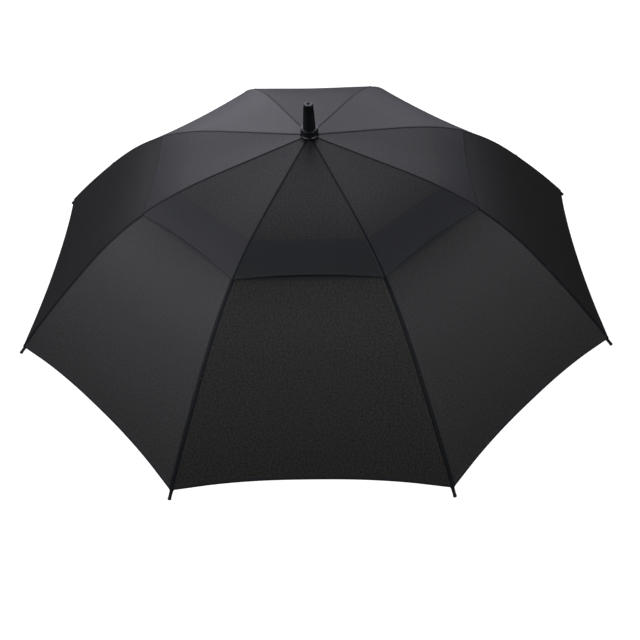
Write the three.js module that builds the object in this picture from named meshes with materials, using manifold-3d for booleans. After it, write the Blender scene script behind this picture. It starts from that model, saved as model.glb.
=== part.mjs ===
// A golf umbrella, standing open: a straight shaft along +Z with its handle's butt end at the origin, eight folding
// ribs with their stretchers, a sliding runner, a spring that opens it, and a vented cover in two layers.
// Millimetres, +Z up. Every rib is built in its own radial plane (x outwards, z up) and turned about the shaft.
import * as THREE from "three";
import { mergeVertices } from "three/addons/utils/BufferGeometryUtils.js";
import Module from "manifold-3d";

const wasm = await Module();
wasm.setup();

// ---------------------------------------------------------------- driving dimensions
const TOTAL_LENGTH = 960; // butt end of the handle to the end of the ferrule
const FERRULE_RISE = 64; // ferrule above the cover
const HUB_Z = TOTAL_LENGTH - FERRULE_RISE; // the cover's outer face where it would meet the shaft's axis
const RIB_COUNT = 8;
const RIB_STEP = (2 * Math.PI) / RIB_COUNT;
const FIRST_RIB = -Math.PI / 2 + RIB_STEP / 2; // the front, -Y, is the middle of a gore
const RIB_LENGTH = 685.8; // 27 inches along the cover, from the axis to the fabric's corner
const GAP = 0.35; // between pieces that touch

// The rib's line: straight from the crown, bent by the stretcher, and nearly straight again to the tip.
const CROWN_SLOPE = THREE.MathUtils.degToRad(10.5);
const BENT_SLOPE = THREE.MathUtils.degToRad(42.1);
const TIP_SLOPE = THREE.MathUtils.degToRad(46.4);
const BEND_START = 0.224 * RIB_LENGTH;
const BEND_END = 0.757 * RIB_LENGTH;
const INNER_BEND = [BEND_START, 190, 225, 255, 285, 312]; // stations along the bend, before the flexing place
const OUTER_BEND = [375, 410, 455, BEND_END]; // and after it

// The cover.
const FABRIC = 0.5;
const VENT_INNER = 0.3707 * RIB_LENGTH; // where the lower cover begins
const VENT_OUTER = 0.4836 * RIB_LENGTH; // where the upper cover ends
const NECK_HOLE = 8.5; // hole of the upper cover round the shaft
const SCALLOP = 15.5; // the hem is cut back this far at the middle of a gore
const SCALLOP_POWER = 2.6;
const VENT_LIFT = 4; // how far the upper cover stands off the lower one at the middle of a gore
const DRAW_IN = 5; // how far the cloth is drawn in between the ribs

// The frame.
const SHAFT_RADIUS = 7;
const SHAFT_BORE = 6.25;
const SHAFT_BOTTOM = 14;
const SHAFT_TOP = HUB_Z + 36;
const INNER_ROD = 2.0;
const OUTER_ROD = 1.8;
const ROD_DEPTH = 4.4; // the rods' line below the cover's outer face
const EYE_RADIUS = 2.2;
const EYE_HOLE = 1.25;
const PLATE = 2.2; // thickness of the eyes and ears
const WIRE_RADIUS = 0.8;
const CROWN_PIVOT_RADIUS = 11.5;
const JOINT_S = 330; // the stretcher's pin, along the rib
const JOINT_DROP = 9; // the pin below the rod
const FITTING_START = JOINT_S - 11;
const FITTING_END = JOINT_S + 9;
const FLEX_S = JOINT_S + 14; // where the rod's two lengths meet
const FLEX_GAP = 1.2;
const RUNNER_PIVOT_RADIUS = 16.5;
const TIP_OVERLAP = 8; // the tip's cap on the rod, inside the fabric's corner
const TIP_REACH = 16.5; // and beyond it

// The handle.
const GRIP_RADIUS = 17;
const HANDLE_TOP = 176;
const COLLAR_BOTTOM = 142;
const NECK_RADIUS = 10.6; // the handle's neck, which the closed runner slips over
const NECK_TOP = HANDLE_TOP + 27;
const LATCH_STROKE = 2;
const CORE_RADIUS = 10;

// ---------------------------------------------------------------- the rib's line
const LINE_STEPS = 1400;
const LINE_END = RIB_LENGTH + 40;
const smooth = (t) => {
  const c = THREE.MathUtils.clamp(t, 0, 1);
  return c * c * (3 - 2 * c);
};

/** The slope of the rib's line below the horizontal, at the distance s along it. */
function slopeAt(s) {
  const bent = CROWN_SLOPE + (BENT_SLOPE - CROWN_SLOPE) * smooth((s - BEND_START) / (BEND_END - BEND_START));
  return bent + (TIP_SLOPE - BENT_SLOPE) * Math.max(0, (s - BEND_END) / (RIB_LENGTH - BEND_END));
}

const line = [{ x: 0, z: HUB_Z }];
for (let i = 1; i <= LINE_STEPS; i++) {
  const ds = LINE_END / LINE_STEPS;
  const slope = slopeAt((i - 0.5) * ds);
  const last = line[i - 1];
  line.push({ x: last.x + Math.cos(slope) * ds, z: last.z - Math.sin(slope) * ds });
}

/** The point at the distance s along the rib's line, and depth below it, in the rib's plane. */
function ribPoint(s, depth = 0) {
  const at = THREE.MathUtils.clamp((s / LINE_END) * LINE_STEPS, 0, LINE_STEPS - 1e-6);
  const i = Math.floor(at);
  const f = at - i;
  const slope = slopeAt(s);
  return {
    x: line[i].x + (line[i + 1].x - line[i].x) * f - Math.sin(slope) * depth,
    z: line[i].z + (line[i + 1].z - line[i].z) * f - Math.cos(slope) * depth,
  };
}

// ---------------------------------------------------------------- solids
/** A closed geometry as a manifold-3d solid. */
function solid(geometry) {
  const bare = new THREE.BufferGeometry().setAttribute("position", geometry.getAttribute("position"));
  if (geometry.index) bare.setIndex(geometry.index);
  const merged = mergeVertices(bare.index ? bare.toNonIndexed() : bare, 1e-4);
  return new wasm.Manifold(
    new wasm.Mesh({
      numProp: 3,
      vertProperties: merged.attributes.position.array,
      triVerts: new Uint32Array(merged.index.array),
    }),
  );
}

/** A manifold-3d solid as a geometry. */
function geometryOf(made) {
  const got = made.getMesh();
  const geometry = new THREE.BufferGeometry();
  geometry.setAttribute("position", new THREE.BufferAttribute(new Float32Array(got.vertProperties), 3));
  geometry.setIndex(new THREE.BufferAttribute(new Uint32Array(got.triVerts), 1));
  geometry.computeVertexNormals();
  return geometry;
}

const join = (...solids) => solids.reduce((a, b) => a.add(b));
const cut = (from, ...tools) => tools.reduce((a, b) => a.subtract(b), from);

/** A profile of [radius, z] points, turned about Z. It starts and ends on the axis, or closes on itself. */
function turned(points, segments = 24) {
  return new THREE.LatheGeometry(
    points.map(([r, z]) => new THREE.Vector2(r, z)),
    segments,
  ).rotateX(Math.PI / 2);
}

/** A ring between two radii and two heights. */
function ring(inner, outer, bottom, top, segments = 24) {
  return turned([[inner, bottom], [outer, bottom], [outer, top], [inner, top], [inner, bottom]], segments);
}

/** A solid cylinder along Z. */
const drum = (radius, bottom, top, segments = 24) =>
  turned([[0, bottom], [radius, bottom], [radius, top], [0, top]], segments);

/** A box by its lowest and highest corners. */
function block(low, high) {
  const size = high.map((h, i) => h - low[i]);
  return new THREE.BoxGeometry(...size).translate(...low.map((l, i) => l + size[i] / 2));
}

/** A shape drawn in the rib's plane (x, z), centred across it with the given thickness. */
const plate = (shape, thickness, curveSegments = 4) =>
  new THREE.ExtrudeGeometry(shape, { depth: thickness, bevelEnabled: false, curveSegments })
    .translate(0, 0, -thickness / 2)
    .rotateX(Math.PI / 2);

/** A peg across the rib's plane at (x, z). */
const peg = (x, z, radius, length, segments = 8) =>
  new THREE.CylinderGeometry(radius, radius, length, segments).translate(x, 0, z);

/** The rib's line through the distances given, as a path with one step between each two of them. */
class RibPath extends THREE.Curve {
  constructor(stations, depth) {
    super();
    this.points = stations.map((s) => ribPoint(s, depth)).map((p) => new THREE.Vector3(p.x, 0, p.z));
  }

  getPoint(t, target = new THREE.Vector3()) {
    const at = t * (this.points.length - 1);
    const i = Math.min(Math.floor(at), this.points.length - 2);
    return target.lerpVectors(this.points[i], this.points[i + 1], at - i);
  }

  getPointAt(t, target) {
    return this.getPoint(t, target);
  }

  getTangentAt(t, target = new THREE.Vector3()) {
    const d = 0.5 / (this.points.length - 1);
    return target.subVectors(this.getPoint(Math.min(1, t + d)), this.getPoint(Math.max(0, t - d))).normalize();
  }
}

/** A rod along the rib's line, through the distances given. */
function rod(stations, radius, sides = 6, depth = ROD_DEPTH) {
  const section = new THREE.Shape();
  for (let i = 0; i < sides; i++) {
    const a = ((i + 0.5) * 2 * Math.PI) / sides;
    if (i === 0) section.moveTo(radius * Math.cos(a), radius * Math.sin(a));
    else section.lineTo(radius * Math.cos(a), radius * Math.sin(a));
  }
  section.closePath();
  const extrudePath = new RibPath(stations, depth);
  return new THREE.ExtrudeGeometry(section, { steps: stations.length - 1, extrudePath, bevelEnabled: false });
}

// ---------------------------------------------------------------- the linkage, at rest
const crownAxis = { ...ribPoint(CROWN_PIVOT_RADIUS / Math.cos(CROWN_SLOPE) + 0.5, ROD_DEPTH) };
crownAxis.x = CROWN_PIVOT_RADIUS;
const jointPin = ribPoint(JOINT_S, ROD_DEPTH + JOINT_DROP);
const RIB_ARM = Math.hypot(jointPin.x - crownAxis.x, jointPin.z - crownAxis.z);
const STRETCHER = RIB_ARM; // equal arms keep the runner's end of the stretcher beside the shaft all the way down
const runnerAxis = { x: RUNNER_PIVOT_RADIUS };
runnerAxis.z = jointPin.z - Math.sqrt(STRETCHER ** 2 - (jointPin.x - runnerAxis.x) ** 2);
const CLOSED_ARM = THREE.MathUtils.degToRad(88); // slope of the closed rib's arm
const closedPin = { x: crownAxis.x + RIB_ARM * Math.cos(CLOSED_ARM), z: crownAxis.z - RIB_ARM * Math.sin(CLOSED_ARM) };
const closedRunner = closedPin.z - Math.sqrt(STRETCHER ** 2 - (closedPin.x - runnerAxis.x) ** 2);
const RUNNER_TRAVEL = runnerAxis.z - closedRunner;
const RUNNER_SKIRT = closedRunner - HANDLE_TOP - 1.5;

// ---------------------------------------------------------------- the ribs
function innerRib() {
  const rodStart = ribPoint(19, ROD_DEPTH);
  const along = { x: rodStart.x - crownAxis.x, z: rodStart.z - crownAxis.z };
  const length = Math.hypot(along.x, along.z) + 3;
  const eye = new THREE.Shape();
  eye.moveTo(length, -1.7);
  eye.lineTo(length, 1.7);
  eye.lineTo(0, EYE_RADIUS);
  eye.absarc(0, 0, EYE_RADIUS, Math.PI / 2, (3 * Math.PI) / 2, false);
  eye.closePath();
  const tongue = plate(eye, PLATE)
    .rotateY(Math.atan2(-along.z, along.x))
    .translate(crownAxis.x, 0, crownAxis.z);
  const hole = peg(crownAxis.x, crownAxis.z, EYE_HOLE, 6);
  return cut(join(solid(rod([19, ...INNER_BEND, FLEX_S - FLEX_GAP], INNER_ROD)), solid(tongue)), solid(hole));
}

function outerRib() {
  return solid(rod([FLEX_S + FLEX_GAP, ...OUTER_BEND, 570, 630, RIB_LENGTH + 4], OUTER_ROD));
}

/** The fitting clamped on the rib, with the ear and the rivet that carry the stretcher. */
function ribJoint() {
  const sleeve = solid(rod([FITTING_START, JOINT_S, FITTING_END], 3.9, 8, ROD_DEPTH + 0.8));
  const bore = solid(rod([FITTING_START - 2, JOINT_S, FITTING_END + 2], INNER_ROD + 0.7));
  const slope = slopeAt(JOINT_S);
  const ear = new THREE.Shape();
  ear.moveTo(-5, JOINT_DROP - 3.2);
  ear.lineTo(-2.8, 0);
  ear.absarc(0, 0, 2.8, Math.PI, 2 * Math.PI, false);
  ear.lineTo(5, JOINT_DROP - 3.2);
  ear.closePath();
  const lug = plate(ear, PLATE).rotateY(slope).translate(jointPin.x, 0, jointPin.z);
  const rivet = peg(jointPin.x, jointPin.z, 1.2, 7.4);
  return join(cut(sleeve, bore), solid(lug), solid(rivet));
}

/** The moulded cap on the rib's end. */
function ribTip() {
  const hole = OUTER_ROD + GAP;
  const length = TIP_OVERLAP + TIP_REACH;
  const profile = [
    [hole, 0], [2.75, 0], [2.75, TIP_OVERLAP - 2], [2.35, TIP_OVERLAP + 5], [2.2, length - 5],
    [2.5, length - 3], [2.3, length - 0.8], [1.4, length], [0, length], [0, TIP_OVERLAP + 4 + 2 * GAP],
    [hole, TIP_OVERLAP + 4 + 2 * GAP], [hole, 0],
  ];
  const slope = slopeAt(RIB_LENGTH);
  const start = ribPoint(RIB_LENGTH - TIP_OVERLAP, ROD_DEPTH);
  return solid(
    turned(profile, 8)
      .rotateY(Math.PI / 2 + slope)
      .translate(start.x, 0, start.z),
  );
}

/** The stretcher: a channel with a fork on the rib's fitting and a flat eye on the runner's wire. */
function stretcher() {
  const height = 2.2;
  const half = 2.6;
  const inside = PLATE / 2 + 0.4;
  const channelEnd = STRETCHER - 38; // the rest is a flat tongue, which clears the closed runner
  const side = new THREE.Shape();
  side.absarc(0, 0, height, Math.PI / 2, (3 * Math.PI) / 2, false);
  side.lineTo(channelEnd, -height);
  side.lineTo(channelEnd, height);
  side.closePath();
  const walls = plate(side, 2 * half);
  const trough = block([-4, -inside, -height - 1], [channelEnd - 8, inside, height - 1]);
  const mouth = block([-4, -inside, -height - 1], [9, inside, height + 1]);
  const eye = new THREE.Shape();
  eye.moveTo(channelEnd - 4, -EYE_RADIUS + 0.2);
  eye.lineTo(STRETCHER, -EYE_RADIUS);
  eye.absarc(STRETCHER, 0, EYE_RADIUS, -Math.PI / 2, Math.PI / 2, false);
  eye.lineTo(channelEnd - 4, EYE_RADIUS - 0.2);
  eye.closePath();
  const made = cut(
    join(cut(solid(walls), solid(trough), solid(mouth)), solid(plate(eye, PLATE))),
    solid(peg(0, 0, 1.2 + GAP, 8)),
    solid(peg(STRETCHER, 0, EYE_HOLE, 8)),
  );
  const towards = Math.atan2(runnerAxis.z - jointPin.z, runnerAxis.x - jointPin.x);
  return solid(geometryOf(made).rotateY(-towards).translate(jointPin.x, 0, jointPin.z));
}

// ---------------------------------------------------------------- crown and runner
/** Cuts the slots that hold the eyes of ribs or stretchers, and the groove of their wire. */
function slotted(body, axis, slotFloor, slotBottom, slotTop) {
  const slots = [];
  for (let k = 0; k < RIB_COUNT; k++) {
    const wide = PLATE / 2 + GAP;
    slots.push(solid(block([slotFloor, -wide, slotBottom], [30, wide, slotTop]).rotateZ(FIRST_RIB + k * RIB_STEP)));
  }
  const groove = solid(ring(axis.x - WIRE_RADIUS - GAP, 30, axis.z - WIRE_RADIUS - GAP, axis.z + WIRE_RADIUS + GAP, 24));
  return cut(body, ...slots, groove);
}

function crown() {
  const top = crownAxis.z + 3.2;
  const bottom = crownAxis.z - 6;
  const bore = SHAFT_RADIUS + GAP;
  const body = solid(
    turned([[bore, bottom], [12.4, bottom], [14.6, bottom + 3], [14.6, top - 1.6], [10, top], [bore, top], [bore, bottom]], 24),
  );
  return slotted(body, crownAxis, CROWN_PIVOT_RADIUS - EYE_RADIUS - GAP, bottom - 1, top + 1);
}

/** The runner slides on the shaft. Its wide skirt slips over the handle's neck, where the latch holds its window. */
function runner() {
  const z = runnerAxis.z;
  const bore = SHAFT_RADIUS + GAP;
  const skirt = NECK_RADIUS + GAP;
  const bottom = z - RUNNER_SKIRT;
  const step = bottom + NECK_TOP - HANDLE_TOP + 3;
  const profile = [
    [skirt, bottom], [13.4, bottom], [13.4, step], [12.6, step + 3], [12.2, z - 11], [13.4, z - 8],
    [19.2, z - 4.5], [19.2, z + 3.5], [17.2, z + 4.6], [bore, z + 4.6], [bore, step], [skirt, step], [skirt, bottom],
  ];
  const floor = RUNNER_PIVOT_RADIUS - EYE_RADIUS - GAP;
  const body = slotted(solid(turned(profile, 24)), runnerAxis, floor, z - 20, z + 6);
  const window = solid(block([-2.6, -20, bottom + 9.5], [2.6, -4, bottom + 17.5]));
  return cut(body, window);
}

/** The wire ring through the eyes. */
const wireRing = (axis) =>
  solid(new THREE.TorusGeometry(axis.x, WIRE_RADIUS, 5, 24).translate(0, 0, axis.z));

// ---------------------------------------------------------------- shaft and its spring
const PLUNGER_Z = runnerAxis.z - 15;
const SPRING_SEAT_TOP = 34;
const SPRING_TURNS = 22;

function shaftTube() {
  const tube = ring(SHAFT_BORE, SHAFT_RADIUS, SHAFT_BOTTOM, SHAFT_TOP, 24);
  const slit = block([-1.3, 2, PLUNGER_Z - RUNNER_TRAVEL - 8], [1.3, 10, PLUNGER_Z + 8]);
  return cut(solid(tube), solid(slit));
}

/** The plug that the spring pushes, with the tab through the slit that drives the runner. */
function springPlunger() {
  const plug = drum(SHAFT_BORE - GAP, PLUNGER_Z - 6, PLUNGER_Z + 6, 16);
  const tab = block([-0.95, 0, PLUNGER_Z - 2.5], [0.95, SHAFT_RADIUS + 0.1, PLUNGER_Z + 2.5]);
  return join(solid(plug), solid(tab));
}

function openingSpring() {
  const wire = 0.6;
  const radius = SHAFT_BORE - 0.5 - wire;
  const bottom = SPRING_SEAT_TOP + 0.5 + wire;
  const top = PLUNGER_Z - 6.5 - wire;
  const perTurn = 7;
  const points = [];
  for (let i = 0; i <= SPRING_TURNS * perTurn; i++) {
    const a = (i * 2 * Math.PI) / perTurn;
    const z = bottom + ((top - bottom) * i) / (SPRING_TURNS * perTurn);
    points.push(new THREE.Vector3(radius * Math.cos(a), radius * Math.sin(a), z));
  }
  const section = new THREE.Shape([
    new THREE.Vector2(wire, 0), new THREE.Vector2(0, wire), new THREE.Vector2(-wire, 0), new THREE.Vector2(0, -wire),
  ]);
  const coil = new THREE.CatmullRomCurve3(points);
  coil.arcLengthDivisions = SPRING_TURNS * perTurn * 4;
  return solid(
    new THREE.ExtrudeGeometry(section, { steps: SPRING_TURNS * perTurn, extrudePath: coil, bevelEnabled: false }),
  );
}

const springSeat = () => solid(drum(SHAFT_BORE - GAP, 22, SPRING_SEAT_TOP, 16));

// ---------------------------------------------------------------- ferrule
const COLLAR_HEIGHT = 15;

/** The collar that clamps the cover on the crown. */
function ferruleCollar() {
  const z = HUB_Z + 2.5;
  const bore = SHAFT_RADIUS + GAP;
  const profile = [
    [bore, z], [12, z - 0.8], [17, z - 1.6], [17, z], [15.6, z + 1.6], [15.2, z + COLLAR_HEIGHT - 3.4],
    [14.2, z + COLLAR_HEIGHT - 2.4], [bore, z + COLLAR_HEIGHT - 2.4], [bore, z],
  ];
  return solid(turned(profile, 28));
}

/** The tapered spike over the shaft's end, with a dimple in its flat top. */
function ferruleSpike() {
  const z = HUB_Z + 2.5 + COLLAR_HEIGHT - 2.4 + GAP;
  const bore = SHAFT_RADIUS + GAP;
  const profile = [
    [bore, z], [11.2, z], [11.2, z + 3], [10.4, z + 5], [8, TOTAL_LENGTH - 2], [6.9, TOTAL_LENGTH],
    [3, TOTAL_LENGTH], [2.4, TOTAL_LENGTH - 2.5], [0, TOTAL_LENGTH - 2.5], [0, SHAFT_TOP + GAP],
    [bore, SHAFT_TOP + GAP], [bore, z],
  ];
  return solid(turned(profile, 24));
}

// ---------------------------------------------------------------- handle
const BUTTON_Z = 161;
const BUTTON_RADIUS = 4.6;

/** The space for the latch, from the core's button hole up through the neck. */
const latchWell = () =>
  join(
    solid(block([-2.2, -12.4, BUTTON_Z - 6], [2.2, -5, NECK_TOP - 2])),
    solid(block([-2.2, -16, HANDLE_TOP + 1], [2.2, -5, NECK_TOP - 2])),
  );

function handleCore() {
  const bore = SHAFT_RADIUS + GAP;
  const tube = ring(bore, CORE_RADIUS, 8, HANDLE_TOP - 6, 24);
  return cut(solid(tube), latchWell());
}

function handleGrip() {
  const bore = CORE_RADIUS + GAP;
  const z = 9 + GAP;
  const profile = [
    [bore, z], [GRIP_RADIUS - 1.5, z], [GRIP_RADIUS, z + 2], [GRIP_RADIUS, z + 40], [GRIP_RADIUS - 1.2, z + 85],
    [GRIP_RADIUS, COLLAR_BOTTOM - 4], [GRIP_RADIUS - 1, COLLAR_BOTTOM - GAP], [bore, COLLAR_BOTTOM - GAP], [bore, z],
  ];
  return solid(turned(profile, 28));
}

/** The moulded collar at the top of the handle, with the button's well and the neck. */
function handleCollar() {
  const bore = CORE_RADIUS + GAP;
  const lip = SHAFT_RADIUS + GAP;
  const profile = [
    [bore, COLLAR_BOTTOM], [16.2, COLLAR_BOTTOM], [16.2, HANDLE_TOP - 10], [14, HANDLE_TOP], [NECK_RADIUS, HANDLE_TOP],
    [NECK_RADIUS, NECK_TOP - 1], [NECK_RADIUS - 1, NECK_TOP], [lip, NECK_TOP], [lip, HANDLE_TOP - 5],
    [bore, HANDLE_TOP - 5], [bore, COLLAR_BOTTOM],
  ];
  const well = peg(0, 0, BUTTON_RADIUS + GAP, 20, 16).translate(0, -16, BUTTON_Z);
  return cut(solid(turned(profile, 28)), solid(well), latchWell());
}

/** The latch behind the button: its hook holds the closed runner's window and moves in with the button. */
function latch() {
  const outer = NECK_RADIUS - 0.6;
  const hook = HANDLE_TOP + 15;
  const shape = new THREE.Shape();
  shape.moveTo(outer - 0.7, BUTTON_Z - 4);
  shape.lineTo(outer, BUTTON_Z - 4);
  shape.lineTo(outer, hook);
  shape.lineTo(outer + 2.2, hook);
  shape.lineTo(outer, hook + 4);
  shape.lineTo(outer - 0.7, hook + 4);
  shape.closePath();
  return solid(plate(shape, 3.4).rotateZ(-Math.PI / 2));
}

/** The cap that closes the handle. Its flat face is the butt end. */
const handleCap = () =>
  solid(turned([[0, 0], [15, 0], [16.6, 1.6], [16.6, 9], [10.6, 9], [10.6, 7.4], [0, 7.4]], 28));

/** The release button, pushed in towards the shaft. */
function releaseButton() {
  const cap = peg(0, 0, BUTTON_RADIUS, 3.5, 16).translate(0, -17.0, BUTTON_Z);
  const stem = peg(0, 0, 1.3, 6, 8).translate(0, -13.3, BUTTON_Z);
  return join(solid(cap), solid(stem));
}

/** The button's return spring, round its stem. */
function buttonSpring() {
  const points = [];
  const turns = 3;
  for (let i = 0; i <= turns * 8; i++) {
    const a = (i * Math.PI) / 4;
    points.push(new THREE.Vector3(2.9 * Math.cos(a), -10.7 - (4.1 * i) / (turns * 8), BUTTON_Z + 2.9 * Math.sin(a)));
  }
  const w = 0.35;
  const section = new THREE.Shape([
    new THREE.Vector2(w, 0), new THREE.Vector2(0, w), new THREE.Vector2(-w, 0), new THREE.Vector2(0, -w),
  ]);
  const path = new THREE.CatmullRomCurve3(points);
  return solid(new THREE.ExtrudeGeometry(section, { steps: turns * 8, extrudePath: path, bevelEnabled: false }));
}

// ---------------------------------------------------------------- the cover
const GORE_SEGMENTS = 4;

/**
 * The place on the open umbrella of a point of the flat cloth: s from the hub, angle round it, height above the cloth's
 * outer face. lift is how far this layer stands off at the middle of a gore, where full is 1.
 */
function draped(s, angle, height, lift) {
  const inGore = THREE.MathUtils.euclideanModulo(angle - FIRST_RIB, RIB_STEP) - RIB_STEP / 2;
  const across = Math.min(1, Math.abs(inGore) / (RIB_STEP / 2)); // 0 at the middle of the gore, 1 on a rib
  const middle = 1 - across ** SCALLOP_POWER;
  const edge = smooth((s - 0.55 * RIB_LENGTH) / (0.45 * RIB_LENGTH));
  const along = s - SCALLOP * middle * edge;
  const depth = -height - lift * middle + DRAW_IN * (1 - across ** 2) * smooth(s / VENT_OUTER);
  const p = ribPoint(along, depth);
  const chord = p.x * (Math.cos(RIB_STEP / 2) / Math.cos(inGore));
  return new THREE.Vector3(chord * Math.cos(angle), chord * Math.sin(angle), p.z);
}

/** One layer of the cover: turned as a flat ring of cloth with rows at the distances given, then laid on the ribs. */
function coverLayer(stations, height, liftAt) {
  const profile = stations.map((s) => [s, 0]).concat([...stations].reverse().map((s) => [s, 1]));
  profile.push(profile[0]);
  const flat = turned(profile, RIB_COUNT * GORE_SEGMENTS).rotateZ(FIRST_RIB);
  const position = flat.getAttribute("position");
  for (let i = 0; i < position.count; i++) {
    const s = Math.hypot(position.getX(i), position.getY(i));
    const angle = Math.atan2(position.getY(i), position.getX(i));
    const p = draped(s, angle, height - FABRIC * (1 - position.getZ(i)), liftAt(s));
    position.setXYZ(i, p.x, p.y, p.z);
  }
  return solid(flat);
}

const VENT_ROWS = [VENT_INNER, 275, 295, 314, VENT_OUTER];
const lowerCover = () =>
  coverLayer([...VENT_ROWS, FLEX_S, ...OUTER_BEND, 570, 630, RIB_LENGTH], 0, () => 0);
const upperCover = () =>
  coverLayer([NECK_HOLE, 45, 100, BEND_START, 190, 222, ...VENT_ROWS], FABRIC + 2.5 * GAP, (s) => {
    return VENT_LIFT * smooth((s - 40) / (VENT_OUTER - 40));
  });

/** The strap that ties the closed umbrella, sewn inside the hem at the middle of the back gore. */
function tieStrap() {
  const [from, to, width, thickness] = [520, 662, 22, 0.9];
  const strap = new THREE.BoxGeometry(to - from, width, thickness, 8, 2, 1).translate((from + to) / 2, 0, 0);
  const position = strap.getAttribute("position");
  for (let i = 0; i < position.count; i++) {
    const s = position.getX(i);
    const below = FABRIC + GAP + thickness / 2 - position.getZ(i);
    const p = draped(s, Math.PI / 2 + position.getY(i) / s, -below, 0);
    position.setXYZ(i, p.x, p.y, p.z);
  }
  return solid(strap);
}

// ---------------------------------------------------------------- finishes
const finish = (color, roughness, metalness = 0) => new THREE.MeshStandardMaterial({ color, roughness, metalness });
const FINISHES = {
  cover: finish(0x2b2b2f, 0.85),
  rod: finish(0x17181a, 0.45),
  steel: finish(0x8f9296, 0.3, 1),
  blackSteel: finish(0x1a1b1d, 0.35, 0.6),
  plastic: finish(0x101214, 0.4),
  foam: finish(0x1b1b1c, 0.95),
};

// ---------------------------------------------------------------- assembly
const umbrella = new THREE.Group();

/** Adds a named node made from a solid, a finish and, for what belongs to a rib, that rib's angle. */
function add(name, made, material, angle = 0, into = umbrella) {
  const mesh = new THREE.Mesh(geometryOf(made), material);
  mesh.name = name;
  mesh.rotation.z = angle;
  into.add(mesh);
}

add("shaft_tube", shaftTube(), FINISHES.blackSteel);
add("opening_spring", openingSpring(), FINISHES.steel);
add("spring_plunger", springPlunger(), FINISHES.plastic);
add("spring_seat", springSeat(), FINISHES.plastic);
add("button_latch", latch(), FINISHES.steel);
add("crown", crown(), FINISHES.plastic);
add("crown_wire", wireRing(crownAxis), FINISHES.steel);
add("runner", runner(), FINISHES.plastic);
add("runner_wire", wireRing(runnerAxis), FINISHES.steel);
add("ferrule_collar", ferruleCollar(), FINISHES.plastic);
add("ferrule_spike", ferruleSpike(), FINISHES.plastic);
add("handle_core", handleCore(), FINISHES.plastic);
add("handle_grip", handleGrip(), FINISHES.foam);
add("handle_collar", handleCollar(), FINISHES.plastic);
add("handle_cap", handleCap(), FINISHES.plastic);
add("release_button", releaseButton(), FINISHES.plastic);
add("button_spring", buttonSpring(), FINISHES.steel);
add("cover_upper", upperCover(), FINISHES.cover);
add("cover_lower", lowerCover(), FINISHES.cover);

const perRib = {
  rib_inner: [innerRib(), FINISHES.rod],
  rib_joint: [ribJoint(), FINISHES.plastic],
  rib_outer: [outerRib(), FINISHES.rod],
  rib_tip: [ribTip(), FINISHES.plastic],
  stretcher: [stretcher(), FINISHES.blackSteel],
};
for (let k = 0; k < RIB_COUNT; k++) {
  for (const [name, [made, material]] of Object.entries(perRib)) {
    add(`${name}_${k + 1}`, made, material, FIRST_RIB + k * RIB_STEP);
  }
}
add("tie_strap", tieStrap(), FINISHES.cover);

export default umbrella;
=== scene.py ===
"""The looks of an open golf umbrella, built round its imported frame: cloth, hard pieces and studio."""

import logging
import math
from dataclasses import dataclass, field
from enum import Enum
from typing import Any, Callable, Mapping, Optional, Sequence, Union

import bpy
import numpy as np
from mathutils import Matrix, Vector


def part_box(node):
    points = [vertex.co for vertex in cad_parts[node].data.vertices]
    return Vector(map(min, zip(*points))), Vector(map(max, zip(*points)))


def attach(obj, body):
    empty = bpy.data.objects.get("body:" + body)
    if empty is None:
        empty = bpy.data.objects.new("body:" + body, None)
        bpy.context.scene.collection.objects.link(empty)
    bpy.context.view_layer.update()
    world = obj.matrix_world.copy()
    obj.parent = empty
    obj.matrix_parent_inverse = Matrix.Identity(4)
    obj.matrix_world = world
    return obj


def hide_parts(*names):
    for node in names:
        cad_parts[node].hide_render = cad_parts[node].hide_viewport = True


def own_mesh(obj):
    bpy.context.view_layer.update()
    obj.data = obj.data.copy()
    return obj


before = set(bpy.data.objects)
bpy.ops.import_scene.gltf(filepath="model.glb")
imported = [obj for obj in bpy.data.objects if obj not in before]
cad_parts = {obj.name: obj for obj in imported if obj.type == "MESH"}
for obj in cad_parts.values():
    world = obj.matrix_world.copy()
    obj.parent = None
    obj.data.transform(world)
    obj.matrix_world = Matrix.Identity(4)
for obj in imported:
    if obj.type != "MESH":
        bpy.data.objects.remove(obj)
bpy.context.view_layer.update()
LOG = logging.getLogger("umbrella")

Triple = tuple[float, float, float]
Colour = Triple
Profile = Sequence[tuple[float, float]]

RIBS = 8
RIB_STEP = 2 * math.pi / RIBS
FIRST_RIB = -math.pi / 2 + RIB_STEP / 2
SMOOTH_SHEET = math.radians(50)
SMOOTH_HARD = math.radians(40)


def ease(values: np.ndarray, low: float, high: float) -> np.ndarray:
    """A smooth step.

    Args:
        values: what is measured.
        low: where the step begins, at 0.
        high: where it ends, at 1.

    Returns:
        The step's value at each.
    """
    share = np.clip((values - low) / (high - low), 0, 1)
    return share * share * (3 - 2 * share)


# ------------------------------ shader maths


def _maths(operation: str, swapped: bool = False) -> Callable[..., "Value"]:
    """Makes a method of Value that adds one Math node.

    Args:
        operation: the Math node's operation.
        swapped: the value comes after the other operand.

    Returns:
        The method.
    """

    def method(self: "Value", *others: "Operand") -> "Value":
        """The node's result on the value and the other operands."""
        operands = (*others, self) if swapped else (self, *others)
        return self.recipe.maths(operation, *operands)

    return method


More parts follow.
